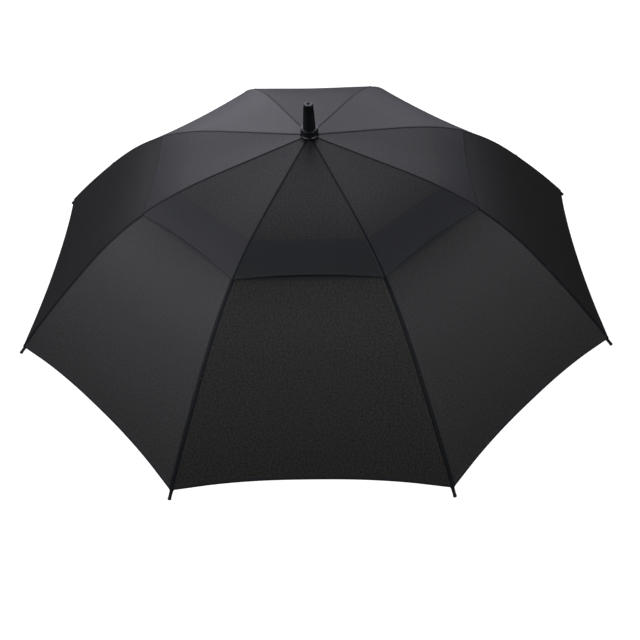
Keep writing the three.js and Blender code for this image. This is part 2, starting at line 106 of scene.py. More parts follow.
class Value:
    """A number in a material; Python's operators on it, and these methods, add Math nodes."""

    __add__ = __radd__ = _maths("ADD")
    __sub__ = _maths("SUBTRACT")
    __rsub__ = _maths("SUBTRACT", swapped=True)
    __mul__ = __rmul__ = _maths("MULTIPLY")
    __truediv__ = _maths("DIVIDE")
    __gt__ = _maths("GREATER_THAN")
    fraction = _maths("FRACT")
    floor = _maths("FLOOR")
    absolute = _maths("ABSOLUTE")
    sine = _maths("SINE")
    largest = _maths("MAXIMUM")

    def __init__(self, recipe: "Recipe", socket: bpy.types.NodeSocket) -> None:
        """Wraps a node's output socket."""
        self.recipe = recipe
        self.socket = socket

    def step(self, low: float, high: float) -> "Value":
        """A smooth step.

        Args:
            low: where the step begins, at 0.
            high: where it ends, at 1. It may be below low, for a falling step.

        Returns:
            The step's value, from 0 to 1.
        """
        if low > high:
            return 1 - self.step(high, low)
        settings = {"interpolation_type": "SMOOTHSTEP"}
        inputs = {"Value": self, "From Min": low, "From Max": high, "To Min": 0.0, "To Max": 1.0}
        return self.recipe.value(self.recipe.node("ShaderNodeMapRange", settings, inputs).outputs["Result"])


Operand = Union[Value, float, int]
Input = Union[Value, bpy.types.NodeSocket, float, Sequence[float]]


class Recipe:
    """A material under construction."""

    def __init__(self, name: str) -> None:
        """Starts an empty material with a surface shader joined to its output."""
        self.material = bpy.data.materials.new(name)
        self.material.use_nodes = True
        self.tree = self.material.node_tree
        self.tree.nodes.clear()
        self.surface = self.node("ShaderNodeBsdfPrincipled")
        self.node("ShaderNodeOutputMaterial", None, {"Surface": self.surface.outputs["BSDF"]})

    def connect(self, socket: bpy.types.NodeSocket, given: Input) -> None:
        """Links or sets a socket.

        Args:
            socket: an input socket.
            given: a value of this recipe, another node's output, a number, or a vector or colour.
        """
        if isinstance(given, Value):
            self.tree.links.new(given.socket, socket)
        elif isinstance(given, bpy.types.NodeSocket):
            self.tree.links.new(given, socket)
        elif isinstance(given, (int, float)):
            socket.default_value = given
        else:
            short = len(given) < len(socket.default_value)
            socket.default_value = (*given, 1.0) if short else tuple(given)

    def node(
        self,
        kind: str,
        settings: Optional[Mapping[str, Any]] = None,
        inputs: Optional[Mapping[Union[str, int], Input]] = None,
    ) -> bpy.types.Node:
        """Adds a node.

        Args:
            kind: the node's type.
            settings: the node's own properties, set before its sockets.
            inputs: what goes into its sockets, by name or place.

        Returns:
            The node.
        """
        made = self.tree.nodes.new(kind)
        for key, setting in (settings or {}).items():
            setattr(made, key, setting)
        for key, given in (inputs or {}).items():
            self.connect(made.inputs[key], given)
        return made

    def value(self, socket: bpy.types.NodeSocket) -> Value:
        """An output socket as a value."""
        return Value(self, socket)

    def maths(self, operation: str, *operands: Operand) -> Value:
        """Adds one Math node on operands."""
        inputs = dict(enumerate(operands))
        return self.value(self.node("ShaderNodeMath", {"operation": operation}, inputs).outputs[0])

    def place(self) -> bpy.types.NodeSocket:
        """The place on the object, in metres."""
        return self.node("ShaderNodeTexCoord").outputs["Object"]

    def across(self, vector: bpy.types.NodeSocket) -> tuple[Value, Value, Value]:
        """A vector's three parts."""
        parts = self.node("ShaderNodeSeparateXYZ", None, {0: vector}).outputs
        return self.value(parts[0]), self.value(parts[1]), self.value(parts[2])

    def chart(self, name: str) -> tuple[Value, Value]:
        """The two coordinates of one of the piece's UV maps."""
        first, second, _ = self.across(self.node("ShaderNodeUVMap", {"uv_map": name}).outputs["UV"])
        return first, second

    def stretched(self, scale: Sequence[float]) -> bpy.types.NodeSocket:
        """The place on the object with each axis scaled."""
        inputs = {"Vector": self.place(), "Scale": scale}
        return self.node("ShaderNodeMapping", None, inputs).outputs["Vector"]

    def joined(self, x: Operand, y: Operand, z: Operand = 0.0) -> bpy.types.NodeSocket:
        """Three numbers as one vector."""
        return self.node("ShaderNodeCombineXYZ", None, {0: x, 1: y, 2: z}).outputs[0]

    def noise(
        self, vector: bpy.types.NodeSocket, scale: float, detail: float = 3.0, rough: float = 0.5
    ) -> Value:
        """Fractal noise from 0 to 1.

        Args:
            vector: where it is read.
            scale: waves per unit of the vector.
            detail: octaves.
            rough: how much each octave keeps of the last.

        Returns:
            The noise.
        """
        inputs = {"Vector": vector, "Scale": scale, "Detail": detail, "Roughness": rough}
        return self.value(self.node("ShaderNodeTexNoise", None, inputs).outputs[0])

    def cells(self, vector: bpy.types.NodeSocket, scale: float) -> Value:
        """The distance to the nearest of many scattered points."""
        inputs = {"Vector": vector, "Scale": scale}
        return self.value(self.node("ShaderNodeTexVoronoi", None, inputs).outputs["Distance"])

    def blend(self, factor: Operand, first: Input, second: Input) -> bpy.types.NodeSocket:
        """A colour between two.

        Args:
            factor: 0 for the first, 1 for the second.
            first: a colour.
            second: a colour.

        Returns:
            The mixed colour.
        """
        made = self.node("ShaderNodeMix", {"data_type": "RGBA"})
        for place, given in ((0, factor), (6, first), (7, second)):
            self.connect(made.inputs[place], given)
        return made.outputs[2]

    def relief(self, height: Value, depth: float, strength: float = 1.0) -> bpy.types.NodeSocket:
        """A bumped normal.

        Args:
            height: the relief, from 0 to 1.
            depth: what 1 stands for, in metres.
            strength: the Bump node's strength.

        Returns:
            The normal.
        """
        inputs = {"Height": height, "Distance": depth, "Strength": strength}
        return self.node("ShaderNodeBump", None, inputs).outputs["Normal"]

    def dress(self, **sockets: Input) -> bpy.types.Material:
        """Sets the surface shader's sockets, named with underscores for spaces.

        Args:
            sockets: what goes into each.

        Returns:
            The material.
        """
        for name, given in sockets.items():
            self.connect(self.surface.inputs[name.replace("_", " ")], given)
        return self.material


# ------------------------------ finishes


@dataclass(frozen=True)
class WovenCloth:
    """Black rainproof cloth in a close plain weave, with sewn seams and a stitched hem."""

    name: str
    open_colour: Colour  # one layer, lighter with the painted light that comes through it
    backed_shade_colour: Colour  # two layers, darker: painted shade, as less light comes through them
    seam_half: float  # half the width of a seam
    seam_row: float  # a row of stitches, from the seam's line
    warm_colour: Colour = (0.0188, 0.0173, 0.0145)  # of the flecks in one layer: warm painted light that comes through the weave
    # the seams and the hem's fold: painted shade, where stacked cloth lets less light through
    seam_shade_colour: Colour = (0.0014, 0.0034, 0.006)
    backed_dull: float = 0.06  # how far two layers, and a seam, lose the cloth's sheen
    seam_dull: float = 0.6
    backed_from: float = 0.0  # the cloth is backed, and painted darker in painted shade, between these two distances from the hub
    backed_to: float = 0.0
    thread: float = 0.00062  # from one thread of the weave to the next
    hem: float = 0.0075
    hem_row: float = 0.0015  # the hem's row of stitches, from its inner edge
    pitch: float = 0.0031  # from one stitch to the next
    soft: float = 0.0003  # half the width over which the edge of a seam or hem fades
    band_soft: float = 0.0006
    fold_out: float = 0.0016  # the painted shade of the fold at the hem fades out here,
    fold_in: float = 0.0004  # and is full here
    slub_waves: tuple[float, float] = (90.0, 900.0)  # slubs per metre down the cloth and across it
    speckle_waves: float = 300.0
    tint_waves: float = 260.0
    drift_waves: float = 5.0
    light: float = 0.86  # the colour's share before the speckle, slubs, drift and weave change it
    speckle_light: float = 3.2
    slub_light: float = 0.12
    drift_light: float = 0.16
    # the hollows between the threads are darkened by this: painted shade
    weave_gap_shade: float = 0.08
    sheen_loss: float = 0.09  # how far the flecks of one layer lose the sheen, and how that varies
    sheen_vary: float = 1.1
    relief: float = 0.0002

    def build(self) -> bpy.types.Material:
        """Makes the material.

        Returns:
            It reads the UV maps "weave" (distance from the hub, distance from the gore's middle) and "edges"
            (distance from the seam, distance from the hem).
        """
        recipe = Recipe(self.name)
        along, aside = recipe.chart("weave")
        seam, hem = recipe.chart("edges")
        warp, weft = aside / self.thread, along / self.thread
        over = ((warp.floor() + weft.floor()) * 0.5).fraction() > 0.25
        warp_round = (warp.fraction() * math.pi).sine()
        weft_round = (weft.fraction() * math.pi).sine()
        weave = over * warp_round + (1 - over) * weft_round
        cloth = recipe.joined(along, aside)
        slub = recipe.noise(recipe.joined(along * self.slub_waves[0], aside * self.slub_waves[1]), 1.0, 2.0)
        speckle = recipe.noise(cloth, self.speckle_waves, 2.0, 0.75)
        tint = recipe.noise(cloth, self.tint_waves, 1.0)
        drift = recipe.noise(cloth, self.drift_waves, 2.0)
        in_seam = seam.step(self.seam_half + self.soft, self.seam_half - self.soft)
        in_hem = hem.step(self.hem + self.soft, self.hem - self.soft)
        # Where two layers lie, at the hem's fold and in the band under the vent, the cloth gets painted
        # shade.
        backed = in_hem
        if self.backed_to > self.backed_from:
            upper = along.step(self.backed_from - self.band_soft, self.backed_from + self.band_soft)
            lower = along.step(self.backed_to + self.band_soft, self.backed_to - self.band_soft)
            backed = backed.largest(upper * lower)
        seam_stitch = self.stitches(seam, self.seam_row, along)
        hem_stitch = self.stitches(hem, self.hem - self.hem_row, aside)
        stitch = seam_stitch.largest(hem_stitch)
        edge = hem.step(self.fold_out, self.fold_in)
        single = (1 - backed) * (1 - in_seam)
        # Random tone of the yarn, and, stronger in one layer, painted light through the weave.
        grain = (speckle - 0.5) * (0.45 + 0.55 * single)
        light = self.light + self.speckle_light * grain + self.slub_light * (slub - 0.5)
        # The weave's hollows get painted shade.
        light = light + self.drift_light * (drift - 0.5) - self.weave_gap_shade * (1 - weave)
        # Painted light through one layer, painted shade where two layers lie.
        ground = recipe.blend(backed, self.open_colour, self.backed_shade_colour)
        # Painted light: warm flecks where light comes through the one layer.
        warm = recipe.blend(tint.step(0.35, 0.65) * single, ground, self.warm_colour)
        tone = recipe.node("ShaderNodeMix", {"data_type": "RGBA", "blend_type": "MULTIPLY"}, {0: 1.0})
        recipe.connect(tone.inputs[6], warm)
        recipe.connect(tone.inputs[7], recipe.joined(light, light, light))
        # Painted shade along the seams and the hem's fold.
        colour = recipe.blend(in_seam.largest(edge), tone.outputs[2], self.seam_shade_colour)
        colour = recipe.blend(stitch * 0.5, colour, self.backed_shade_colour)
        deaden = (backed * self.backed_dull).largest(in_seam * self.seam_dull).largest(edge * self.seam_dull)
        flecks = (self.sheen_loss + self.sheen_vary * (0.5 - speckle)) * single
        height = weave * 0.2 + speckle * 0.14 + stitch * 0.5
        return recipe.dress(
            Base_Color=colour,
            Roughness=0.5 + 0.4 * grain + 0.06 * drift,
            Metallic=(deaden + flecks).largest(0.0),
            Normal=recipe.relief(height, self.relief, 0.7),
            Specular_IOR_Level=0.62,
        )

    def stitches(self, distance: Value, row: float, along: Value) -> Value:
        """A row of stitches.

        Args:
            distance: the distance from the edge that the row follows.
            row: the row's distance from it.
            along: the distance along the row.

        Returns:
            1 on the thread.
        """
        offset = (distance - row).absolute()
        phase = ((along / self.pitch).fraction() - 0.5).absolute()
        return offset.step(0.00038, 0.00024) * phase.step(0.4, 0.34)


@dataclass(frozen=True)
class Moulding:
    """Moulded black plastic: an eggshell skin with faint scuffs."""

    name: str
    colour: Colour
    roughness: float
    grain: float = 0.00002
    grain_scale: float = 1500.0
    coat: float = 0.0

    def build(self) -> bpy.types.Material:
        """Makes the material."""
        recipe = Recipe(self.name)
        place = recipe.place()
        grain = recipe.noise(place, self.grain_scale, 2.0)
        scuff = recipe.noise(recipe.stretched((60, 60, 900)), 1.0, 4.0, 0.6).step(0.6, 0.72)
        cloud = recipe.noise(place, 45.0, 3.0)
        pale = tuple(min(1.0, part * 2.2 + 0.006) for part in self.colour)
        return recipe.dress(
            Base_Color=recipe.blend(scuff * 0.25 + (cloud - 0.5).absolute() * 0.3, self.colour, pale),
            Roughness=self.roughness + 0.12 * scuff + 0.1 * (cloud - 0.5),
            Normal=recipe.relief(grain + scuff * 0.3, self.grain, 0.6),
            Coat_Weight=self.coat,
            Coat_Roughness=0.12,
        )


@dataclass(frozen=True)
class FoamRubber:
    """Closed-cell foam: matt, with fine pores in painted shade and smoother worn places."""

    name: str
    colour: Colour

    def build(self) -> bpy.types.Material:
        """Makes the material."""
        recipe = Recipe(self.name)
        place = recipe.place()
        pores = recipe.cells(place, 1400.0)
        fine = recipe.noise(place, 2600.0, 2.0)
        worn = recipe.noise(place, 38.0, 3.0).step(0.48, 0.7)
        pit = pores.step(0.45, 0.15)
        pale = tuple(part * 1.9 + 0.004 for part in self.colour)
        # The darker colour is painted shade in the pores.
        dark = tuple(part * 0.45 for part in self.colour)
        skin = recipe.blend(fine * 0.5, self.colour, pale)
        return recipe.dress(
            Base_Color=recipe.blend(pit * 0.7, skin, dark),
            Roughness=0.9 - 0.18 * worn,
            Normal=recipe.relief(fine * 0.4 - pit, 0.00016, 0.8),
            Sheen_Weight=0.1,
        )


@dataclass(frozen=True)
class DrawnMetal:
    """Metal drawn or brushed along its length, bare or enamelled."""

    name: str
    colour: Colour
    roughness: float
    metallic: float
    coat: float = 0.0

    def build(self) -> bpy.types.Material:
        """Makes the material."""
        recipe = Recipe(self.name)
        streak = recipe.noise(recipe.stretched((1800, 1800, 14)), 1.0, 3.0)
        spot = recipe.noise(recipe.place(), 160.0, 4.0, 0.6).step(0.62, 0.75)
        pale = tuple(min(1.0, part * 1.5 + 0.01) for part in self.colour)
        return recipe.dress(
            Base_Color=recipe.blend(streak * 0.4 + spot * 0.2, self.colour, pale),
            Roughness=self.roughness + 0.16 * (streak - 0.5) + 0.1 * spot,
            Metallic=self.metallic,
            Normal=recipe.relief(streak, 0.000012, 0.5),
            Coat_Weight=self.coat,
            Coat_Roughness=0.1,
        )


@dataclass(frozen=True)
class GlassFibre:
    """Pulled glass-fibre rod: dark resin with fibres along it."""

    name: str
    colour: Colour

    def build(self) -> bpy.types.Material:
        """Makes the material."""
        recipe = Recipe(self.name)
        place = recipe.place()
        fibre = recipe.noise(place, 900.0, 4.0, 0.7)
        pale = tuple(part * 2.4 + 0.008 for part in self.colour)
        return recipe.dress(
            Base_Color=recipe.blend(fibre.step(0.5, 0.72) * 0.5, self.colour, pale),
            Roughness=0.34 + 0.16 * fibre,
            Normal=recipe.relief(fibre, 0.00003, 0.5),
            Coat_Weight=0.25,
            Coat_Roughness=0.2,
        )


@dataclass(frozen=True)
class StudioPaint:
    """The plain pale floor, faintly lit of itself so that it stays even."""

    name: str
    colour: Colour
    glow: float

    def build(self) -> bpy.types.Material:
        """Makes the material."""
        recipe = Recipe(self.name)
        return recipe.dress(
            Base_Color=self.colour,
            Roughness=0.75,
            Specular_IOR_Level=0.2,
            Emission_Color=(1.0, 1.0, 1.0),
            Emission_Strength=self.glow,
        )


TWO_LAYER_SHADE: Colour = (0.0054, 0.0073, 0.0106)  # black cloth with more of itself behind, darker: painted shade, as less light comes through
WEBBING: Colour = (0.0048, 0.0066, 0.0092)


class Finish(Enum):
    """The umbrella's finishes."""

    LOWER_CLOTH = WovenCloth(
        "lower_cloth", (0.0143, 0.0141, 0.0142), TWO_LAYER_SHADE, 0.0034, 0.0026, backed_from=0.2, backed_to=0.3317
    )
    UPPER_CLOTH = WovenCloth(
        "upper_cloth", (0.0148, 0.0146, 0.0147), TWO_LAYER_SHADE, 0.0019, 0.0012,
        backed_from=0.2542, backed_to=0.34,
    )
    STRAP = WovenCloth("strap_cloth", WEBBING, WEBBING, 0.0, 0.0016, hem=0.0)
    THREAD = Moulding("sewing_thread", (0.012, 0.013, 0.015), 0.7, 0.00008, 2600.0)
    FERRULE = Moulding("polished_moulding", (0.0075, 0.0095, 0.0105), 0.3, 0.00001, 1200.0, 0.12)
    TIP = Moulding("tip_moulding", (0.009, 0.0105, 0.012), 0.36, 0.00001, 1500.0)
    SATIN = Moulding("satin_moulding", (0.012, 0.0125, 0.0135), 0.46, 0.00003, 2200.0)
    BUTTON = Moulding("button_moulding", (0.02, 0.021, 0.023), 0.3, 0.00001, 1500.0, 0.15)
    FOAM = FoamRubber("grip_foam", (0.0125, 0.0125, 0.013))
    ENAMEL = DrawnMetal("black_enamel", (0.01, 0.0105, 0.0115), 0.3, 0.0, 0.3)
    PLATED = DrawnMetal("plated_steel", (0.52, 0.53, 0.55), 0.3, 1.0)
    ROD = GlassFibre("glass_fibre", (0.009, 0.009, 0.0095))
    FLOOR = StudioPaint("studio_floor", (0.35, 0.35, 0.35), 0.94)

    def material(self) -> bpy.types.Material:
        """The finish's material.

        Returns:
            One and the same material each time, made the first time it is asked for.
        """
        return bpy.data.materials.get(self.value.name) or self.value.build()


# ------------------------------ bench work


class Bench:
    """The modelling moves that several pieces share."""

    @staticmethod
    def clear() -> None:
        """Leaves edit mode and deselects everything."""
        if bpy.context.object and bpy.context.object.mode != "OBJECT":
            bpy.ops.object.mode_set(mode="OBJECT")
        bpy.ops.object.select_all(action="DESELECT")

    @staticmethod
    def take(piece: bpy.types.Object) -> None:
        """Selects one piece and makes it the active one."""
        Bench.clear()
        piece.select_set(True)
        bpy.context.view_layer.objects.active = piece

    @staticmethod
    def settle(piece: bpy.types.Object, name: str) -> bpy.types.Object:
        """Names a piece and applies its place to its mesh."""
        Bench.take(piece)
        bpy.ops.object.transform_apply(location=True, rotation=True, scale=True)
        piece.name = name
        piece.data.name = name
        return piece

    @staticmethod
    def turned(name: str, profile: Profile, sides: int = 64) -> bpy.types.Object:
        """Draws a ring up a profile about Z.

        Args:
            name: the piece's name.
            profile: radius and height of each ring, in metres. A radius of 0 closes an end to a point.
                Where the last ring is the first one again, the piece is a closed ring.
            sides: faces round it.

        Returns:
            The piece, with its faces outwards.
        """
        Bench.clear()
        (radius, height), rest = profile[0], list(profile[1:])
        closed = profile[0] == profile[-1]
        start = max(radius, 1e-5)
        bpy.ops.mesh.primitive_circle_add(vertices=sides, radius=start, location=(0, 0, height))
        piece = bpy.context.object
        bpy.ops.object.transform_apply(location=True, rotation=True, scale=True)
        bpy.ops.object.mode_set(mode="EDIT")
        bpy.ops.mesh.select_all(action="SELECT")
        for next_radius, next_height in rest:
            next_start = max(next_radius, 1e-5)
            bpy.ops.mesh.extrude_region_move(
                TRANSFORM_OT_translate={"value": (0, 0, next_height - height), "orient_type": "GLOBAL"}
            )
            share = next_start / start
            bpy.ops.transform.resize(value=(share, share, 1), center_override=(0, 0, next_height))
            start, height = next_start, next_height
        bpy.ops.mesh.select_all(action="SELECT")
        pointed = min(radius for radius, _ in profile) < 1e-4
        bpy.ops.mesh.remove_doubles(threshold=1.5e-5 if pointed else 2e-6)
        Bench.seal(open_ends=not closed)
        return Bench.settle(piece, name)

    @staticmethod
    def seal(open_ends: bool) -> None:
        """Turns the faces of the piece in edit mode outwards, and leaves edit mode.

        Args:
            open_ends: the piece has open rings, which are filled first.
        """
        if open_ends:
            bpy.ops.mesh.select_all(action="DESELECT")
            bpy.ops.mesh.select_mode(type="EDGE")
            bpy.ops.mesh.select_non_manifold(extend=False, use_multi_face=False, use_non_contiguous=False)
            bpy.ops.mesh.fill()
        bpy.ops.mesh.select_all(action="SELECT")
        bpy.ops.mesh.normals_make_consistent(inside=False)
        bpy.ops.object.mode_set(mode="OBJECT")

    @staticmethod
    def grid(rows: int, columns: int) -> tuple[bpy.types.Object, np.ndarray]:
        """Adds a flat grid, the start of a sheet.

        Args:
            rows: its rows of vertices.
            columns: its columns.

        Returns:
            The piece, and the place of each vertex across it, from -0.5 to 0.5 both ways.
        """
        Bench.clear()
        bpy.ops.mesh.primitive_grid_add(x_subdivisions=rows - 1, y_subdivisions=columns - 1, size=1)
        piece = bpy.context.object
        return piece, np.array([vertex.co for vertex in piece.data.vertices])

    @staticmethod
    def face_up(mesh: bpy.types.Mesh) -> float:
        """Turns a sheet's faces upwards.

        Args:
            mesh: the sheet's mesh.

        Returns:
            Its area, in square metres.
        """
        mesh.update()
        if mesh.polygons[len(mesh.polygons) // 2].normal.z < 0:
            mesh.flip_normals()
        return float(sum(face.area for face in mesh.polygons))

    @staticmethod
    def chart(mesh: bpy.types.Mesh, charts: Mapping[str, np.ndarray]) -> None:
        """Puts a mesh's own UV maps in place of the ones it has.

        Args:
            mesh: the mesh.
            charts: for each map's name, the two coordinates of every vertex.
        """
        loops = np.zeros(len(mesh.loops), int)
        mesh.loops.foreach_get("vertex_index", loops)
        while mesh.uv_layers:
            mesh.uv_layers.remove(mesh.uv_layers[0])
        for name, chart in charts.items():
            layer = mesh.uv_layers.new(name=name)
            layer.data.foreach_set("uv", chart[loops].astype(np.float32).ravel())

    @staticmethod
    def thicken(piece: bpy.types.Object, thickness: float) -> None:
        """Gives a sheet its thickness, away from its face, and shades it smooth."""
        Bench.take(piece)
        wall = piece.modifiers.new("thickness", "SOLIDIFY")
        wall.thickness = thickness
        wall.offset = -1.0
        wall.use_rim = True
        wall.use_even_offset = False
        bpy.ops.object.modifier_apply(modifier=wall.name)
        bpy.ops.object.shade_smooth_by_angle(angle=SMOOTH_SHEET)

    @staticmethod
    def soften(
        piece: bpy.types.Object, width: float, segments: int = 2, angle: float = 30.0
    ) -> bpy.types.Object:
        """Rounds a piece's sharp edges with an applied Bevel and shades it smooth.

        Args:
            piece: the piece.
            width: the bevel's width, in metres.
            segments: its segments.
            angle: edges sharper than this are rounded, in degrees.

        Returns:
            The piece.
        """
        Bench.take(piece)
        bevel = piece.modifiers.new("rounded", "BEVEL")
        bevel.width = width
        bevel.segments = segments
        bevel.limit_method = "ANGLE"
        bevel.angle_limit = math.radians(angle)
        bevel.use_clamp_overlap = True
        bpy.ops.object.modifier_apply(modifier=bevel.name)
        bpy.ops.object.shade_smooth_by_angle(angle=SMOOTH_HARD)
        return piece

    @staticmethod
    def copy_placed(piece: bpy.types.Object, name: str, place: Matrix) -> bpy.types.Object:
        """Copies a piece with its own mesh to a place.

        Args:
            piece: what is copied.
            name: the copy's name.
            place: where its origin and axes go.

        Returns:
            The copy.
        """
        Bench.take(piece)
        bpy.ops.object.duplicate(linked=False)
        twin = bpy.context.object
        twin.matrix_world = place @ twin.matrix_world
        return Bench.settle(twin, name)

    @staticmethod
    def drop(piece: bpy.types.Object) -> None:
        """Deletes a pattern piece once its copies are made."""
        Bench.take(piece)
        bpy.ops.object.delete()

    @staticmethod
    def merge(pieces: Sequence[bpy.types.Object], name: str) -> bpy.types.Object:
        """Joins pieces into the first one."""
        Bench.take(pieces[0])
        for piece in pieces:
            piece.select_set(True)
        bpy.ops.object.join()
        return Bench.settle(bpy.context.object, name)

    @staticmethod
    def dress(piece: bpy.types.Object, finish: Finish, slot: str) -> bpy.types.Object:
        """Gives a piece its finish."""
        piece.data.materials.clear()
        piece.data.materials.append(finish.material())
        return piece


# ------------------------------ the rib's line


@dataclass(frozen=True)
class RibLine:
    """The line of a rib in its own upright plane, measured on the outside of the cloth."""

    hub: float = 0.896
    length: float = 0.6858
    crown_slope: float = math.radians(10.5)
    bent_slope: float = math.radians(42.1)
    tip_slope: float = math.radians(46.4)
    bend_start: float = 0.224 * 0.6858
    bend_end: float = 0.757 * 0.6858
    beyond: float = 0.04  # how far the line is kept past the corner
    steps: int = 1400
    table: np.ndarray = field(init=False, repr=False, compare=False, default=None)

    def __post_init__(self) -> None:
        """Walks down the line once and keeps its points."""
        s = np.linspace(0, self.length + self.beyond, self.steps + 1)
        middle = (s[1:] + s[:-1]) / 2
        slope = self.slope(middle)
        x = np.concatenate([[0.0], np.cumsum(np.cos(slope) * np.diff(s))])
        z = self.hub - np.concatenate([[0.0], np.cumsum(np.sin(slope) * np.diff(s))])
        object.__setattr__(self, "table", np.stack([s, x, z]))

    def slope(self, s: np.ndarray) -> np.ndarray:
        """The slope below the horizontal at distances along the line, in radians."""
        bend = self.bent_slope - self.crown_slope
        bent = self.crown_slope + bend * ease(s, self.bend_start, self.bend_end)
        far = np.maximum(0, (s - self.bend_end) / (self.length - self.bend_end))
        return bent + (self.tip_slope - self.bent_slope) * far

    def point(self, s: np.ndarray, height: np.ndarray) -> tuple[np.ndarray, np.ndarray]:
        """Points beside the line.

        Args:
            s: distances along the line.
            height: distances out from it.

        Returns:
            Their distances from the shaft and their heights.
        """
        steps, x, z = self.table
        slope = self.slope(s)
        out, up = np.sin(slope) * height, np.cos(slope) * height
        return np.interp(s, steps, x) + out, np.interp(s, steps, z) + up

    def stand(self, rib: int, s: float, height: float, across: bool = False) -> Matrix:
        """The place of something mounted on a rib.

        Args:
            rib: the rib's place, from 0.
            s: the distance down the rib.
            height: how far out from the cloth's face.
            across: its +Z points across the rib, with +Y out of the cloth, and otherwise down the rib.

        Returns:
            Its origin and axes.
        """
        x, z = self.point(np.array([s]), np.array([height]))
        slope = float(self.slope(np.array([s]))[0])
        turn = FIRST_RIB + rib * RIB_STEP
        down = Vector((math.cos(slope) * math.cos(turn), math.cos(slope) * math.sin(turn), -math.sin(slope)))
        aside = Vector((-math.sin(turn), math.cos(turn), 0.0))
        third, second = (aside, down.cross(aside)) if across else (down, aside)
        first = second.cross(third)
        axes = Matrix((first, second, third)).transposed().to_4x4()
        return Matrix.Translation((x[0] * math.cos(turn), x[0] * math.sin(turn), z[0])) @ axes


LINE = RibLine()


# ------------------------------ cloth


@dataclass(frozen=True)
class ClothPart:
    """One part of the cover: from one distance down the rib to another, in sixteen half gores."""

    name: str
    body: str  # the part rides on this body of each rib
    start: float
    end: float
    rows: int
    columns: int
    finish: Finish
    seam_half: float
    height: float = 0.0  # how far its outside stands off the rib's line
    lift: float = 0.0  # how far its lower edge stands off at the middle of a gore
    lift_from: float = 0.04  # the lift begins here, down the rib
    cut_back: float = 0.0  # how far its lower edge is cut back at the middle of a gore
    cut_from: float = 0.0  # the rows are cut back from here on,
    cut_ease: bool = True  # smoothly, or else with the square of the distance
    cut_power: float = 2.0
    hemmed: bool = False


